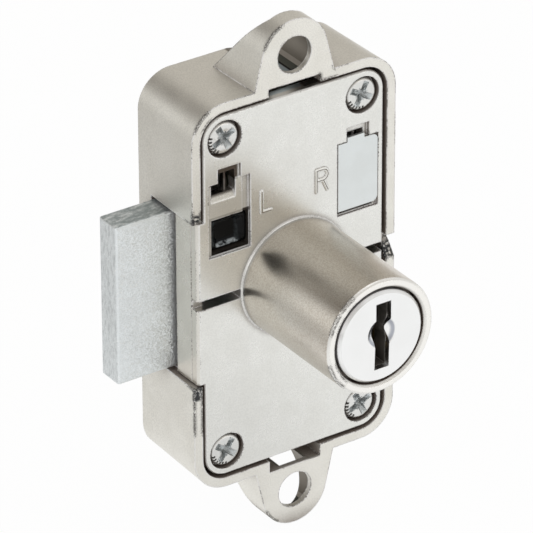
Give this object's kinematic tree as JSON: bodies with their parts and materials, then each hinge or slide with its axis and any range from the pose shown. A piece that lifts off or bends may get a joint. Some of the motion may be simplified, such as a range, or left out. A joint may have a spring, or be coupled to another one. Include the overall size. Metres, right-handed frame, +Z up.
{
  "type": "drawer lock",
  "caption": "Surface-mounted drawer lock: rounded cast box with an ear above and below, a round keyed barrel at the front and a flat bolt that slides out of one side.",
  "frame": {"origin": "on the barrel's axis, at the face that lies against the drawer front, 0.3 mm above the middle of the two mounting holes", "axes": "-Y along the barrel, out through the drawer front; +Y to the back; +Z up, along the line of the mounting holes; the bolt leaves towards -X"},
  "size_m": [0.0436, 0.0358, 0.0825],
  "materials": {
    "casting": "satin nickel plate on die-cast zinc",
    "bright_steel": "bright nickel",
    "pale_plate": "smooth pale blue grey",
    "black_plastic": "glossy black acetal",
    "brass": "turned",
    "steel": "turned",
    "polished_cap": "polished stainless steel",
    "brass_wafer": "stamped",
    "spring_wire": "drawn wire",
    "zinc_cam": "die-cast zinc",
    "zinc_bolt": "matte die-cast zinc"
  },
  "bodies": {
    "lock_body": {"housing": "casting", "cover_plate": "casting", "cover_screws": "bright_steel", "handing_insert": "pale_plate", "glide_block": "black_plastic", "core_sleeve": "brass", "sleeve_pin": "steel", "thrust_washer": "steel", "stop_pin": "steel"},
    "plug_body": {"plug": "brass", "face_cap": "polished_cap", "wafer_springs": "spring_wire", "retaining_ring": "spring_wire", "driver_disc": "zinc_cam", "drive_pin": "steel", "cam_washer": "steel", "cam_screw": "bright_steel"},
    "bolt_body": {"bolt": "zinc_bolt"},
    "wafer_1_body": {"wafer_1": "brass_wafer"},
    "wafer_2_body": {"wafer_2": "brass_wafer"},
    "wafer_3_body": {"wafer_3": "brass_wafer"},
    "wafer_4_body": {"wafer_4": "brass_wafer"},
    "wafer_5_body": {"wafer_5": "brass_wafer"},
    "wafer_6_body": {"wafer_6": "brass_wafer"}
  },
  "joints": [
    {"name": "plug_turn", "type": "hinge", "parent": "lock_body", "child": "plug_body", "pos_m": [0, 0, 0], "axis": [0, 1, 0], "range_deg": [0, 90]},
    {"name": "bolt_throw", "type": "slide", "parent": "lock_body", "child": "bolt_body", "axis": [1, 0, 0], "range_m": [0, 0.0095]},
    {"name": "wafer_1_lift", "type": "slide", "parent": "plug_body", "child": "wafer_1_body", "axis": [0, 0, 1], "range_m": [-0.0005, 0], "deforming": ["wafer_springs"]},
    {"name": "wafer_2_lift", "type": "slide", "parent": "plug_body", "child": "wafer_2_body", "axis": [0, 0, 1], "range_m": [-0.0003, 0]},
    {"name": "wafer_3_lift", "type": "slide", "parent": "plug_body", "child": "wafer_3_body", "axis": [0, 0, 1], "range_m": [-0.0004, 0]},
    {"name": "wafer_4_lift", "type": "slide", "parent": "plug_body", "child": "wafer_4_body", "axis": [0, 0, 1], "range_m": [-0.00025, 0]},
    {"name": "wafer_5_lift", "type": "slide", "parent": "plug_body", "child": "wafer_5_body", "axis": [0, 0, 1], "range_m": [-0.00045, 0]},
    {"name": "wafer_6_lift", "type": "slide", "parent": "plug_body", "child": "wafer_6_body", "axis": [0, 0, 1], "range_m": [-0.00035, 0]}
  ],
  "couplings": [
    {"joint": "plug_turn", "follows": "bolt_throw", "rad_per_m": 165.35},
    {"joint": "wafer_2_lift", "follows": "wafer_1_lift", "ratio": 0.6},
    {"joint": "wafer_3_lift", "follows": "wafer_1_lift", "ratio": 0.8},
    {"joint": "wafer_4_lift", "follows": "wafer_1_lift", "ratio": 0.5},
    {"joint": "wafer_5_lift", "follows": "wafer_1_lift", "ratio": 0.9},
    {"joint": "wafer_6_lift", "follows": "wafer_1_lift", "ratio": 0.7}
  ]
}
